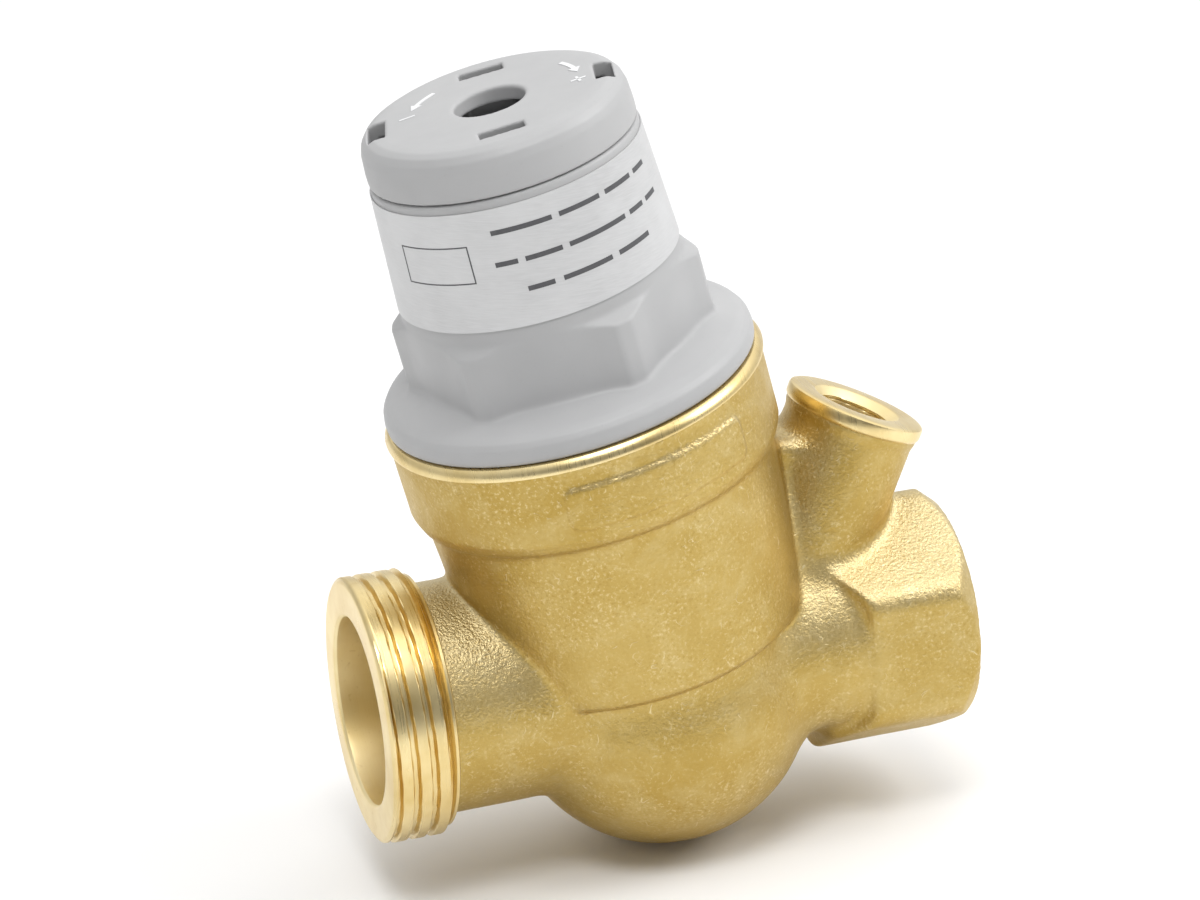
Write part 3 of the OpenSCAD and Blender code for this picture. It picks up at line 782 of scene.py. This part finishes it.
def bend(obj, node, material):
    """Gives a piece on the cartridge axis its material, bakes its placement into the mesh and hides the CAD part it
    replaces.
    """
    obj.data.materials.append(material)
    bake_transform(obj)
    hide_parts(node)


# the spring's lower half is pressed by the stem's plate and its upper half by the nut
for part, name, body, end in ((0, "spring_wire_lower", "valve_stem", 29.0), (1, "spring_wire_upper", "nut", 51.7)):
    co, faces = coil(10.2, 1.3, 26.3, 54.4, 4.5, part)
    bend(to_mesh(name, co, faces, CART, angle=50), "range_spring", M_STEEL)

u = np.linspace(0, 1, 14)
roll = u * u * (3 - 2 * u)
over = [(15.2 - 3.2 * a, 22.1 + 2.3 * b) for a, b in zip(u, roll)]
under = [(11.2 + 3.0 * (1 - a), 20.6 + 2.55 * b) for a, b in zip(u, roll)]
ribs = [(r, 24.4 - 0.12 * (k % 2)) for k, r in enumerate(np.arange(11.0, 4.0, -0.5))]
co, faces = lathe([(14.4, 20.6), (18.2, 20.6), (18.4, 20.8), (18.4, 21.9), (18.2, 22.1), (15.4, 22.1)] + over + ribs
                  + [(2.1, 24.4), (2.1, 23.15), (11.0, 23.15)] + under[::-1], 160)
bend(to_mesh("diaphragm_skin", co, faces, CART, angle=40), "diaphragm", M_RUBBER)


# ---------- flow arrow on the outlet flat ----------

arrow = [(27.2, -0.35), (33.2, -0.35), (33.2, -1.3), (35.4, 0.0), (33.2, 1.3), (33.2, 0.35), (27.2, 0.35)]
co, faces = solid_outline(arrow, 14.1, 14.395)
FLAT = PIPE @ Matrix.Rotation(math.pi / 2, 4, "X")
add("flow_arrow", co, faces, FLAT, "housing", M_TURNED, smooth=False)


# ---------- camera, light and floor ----------

az, el, roll = (math.radians(v) for v in (-16.125, 21.023, 3.716))
dist, tx, ty, focal = 538.58, 6.584, -25.92, 4307.96
back = Vector((math.sin(az) * math.cos(el), -math.cos(az) * math.cos(el), math.sin(el)))
right = (-back).cross(Vector((0, 0, 1))).normalized()
up = right.cross(-back)
turn = Matrix.Rotation(roll, 3, -back)
right, up = turn @ right, turn @ up
cam = bpy.data.objects.new("camera", bpy.data.cameras.new("camera"))
bpy.context.scene.collection.objects.link(cam)
cam.data.sensor_width = 36
cam.data.lens = focal / 1200 * 36
cam.data.clip_start, cam.data.clip_end = 0.01, 50
basis = Matrix((right, up, back)).transposed()
cam.matrix_world = Matrix.Translation((back * dist - right * tx - up * ty) * MM + Vector((INLET * MM, 0, 0))) @ basis.to_4x4()
bpy.context.scene.camera = cam

bpy.context.scene.view_settings.view_transform = "Standard"

# studio: pale walls, darker towards the ground and the left, brighter overhead
world = bpy.data.worlds.new("studio")
bpy.context.scene.world = world
world.use_nodes = True
wt = world.node_tree
axes = wt.nodes.new("ShaderNodeSeparateXYZ")
wt.links.new(wt.nodes.new("ShaderNodeTexCoord").outputs["Generated"], axes.inputs[0])
wt.nodes["Background"].inputs["Color"].default_value = (1, 1, 1, 1)
tone = None
for axis, low, high, dark, light in (("Z", -0.1, 0.8, 0.62, 1.18), ("X", -1.0, 0.7, 0.74, 1.06), ("Y", -1.0, 0.3, 0.26, 1.08)):
    ramp = wt.nodes.new("ShaderNodeMapRange")
    ramp.interpolation_type = "SMOOTHSTEP"
    wt.links.new(axes.outputs[axis], ramp.inputs["Value"])
    for key, value in zip(("From Min", "From Max", "To Min", "To Max"), (low, high, dark, light)):
        ramp.inputs[key].default_value = value
    if tone is None:
        tone = ramp.outputs[0]
    else:
        times = wt.nodes.new("ShaderNodeMath")
        times.operation = "MULTIPLY"
        wt.links.new(tone, times.inputs[0])
        wt.links.new(ramp.outputs[0], times.inputs[1])
        tone = times.outputs[0]
wt.links.new(tone, wt.nodes["Background"].inputs["Strength"])


def area(name, place, aim, size, power, color=(1, 1, 1)):
    light = bpy.data.lights.new(name, "AREA")
    light.shape = "RECTANGLE"
    light.size, light.size_y = size
    light.energy = power
    light.color = color
    obj = bpy.data.objects.new(name, light)
    bpy.context.scene.collection.objects.link(obj)
    obj.location = place
    obj.rotation_euler = (Vector(aim) - Vector(place)).to_track_quat("-Z", "Y").to_euler()


centre = (INLET * MM, 0, 0.025)
area("key", (0.65, -0.25, 0.6), centre, (0.45, 0.45), 3.6)
area("top", (-0.10, -0.10, 0.95), centre, (0.6, 0.5), 1.3)
area("front", (-0.10, -0.42, 0.80), centre, (0.35, 0.25), 2.6)

ground = min(v[2] for v in (cad_box[0], cad_box[1])) - 0.0002
s = 6.0
floor = to_mesh("floor", [(-s, -s, ground), (s, -s, ground), (s, s, ground), (-s, s, ground)], [(0, 1, 2, 3)], Matrix.Identity(4), False)
nf = Nodes("floor_paper")
nf.set(color=nf.mix(nf.noise(6, 2, 0.5), (0.85, 0.85, 0.85), (0.87, 0.87, 0.87)), rough=0.9, normal=nf.bump(nf.noise(900, 2, 0.5), 0.03, 0.0002))
floor.data.materials.append(nf.mat)
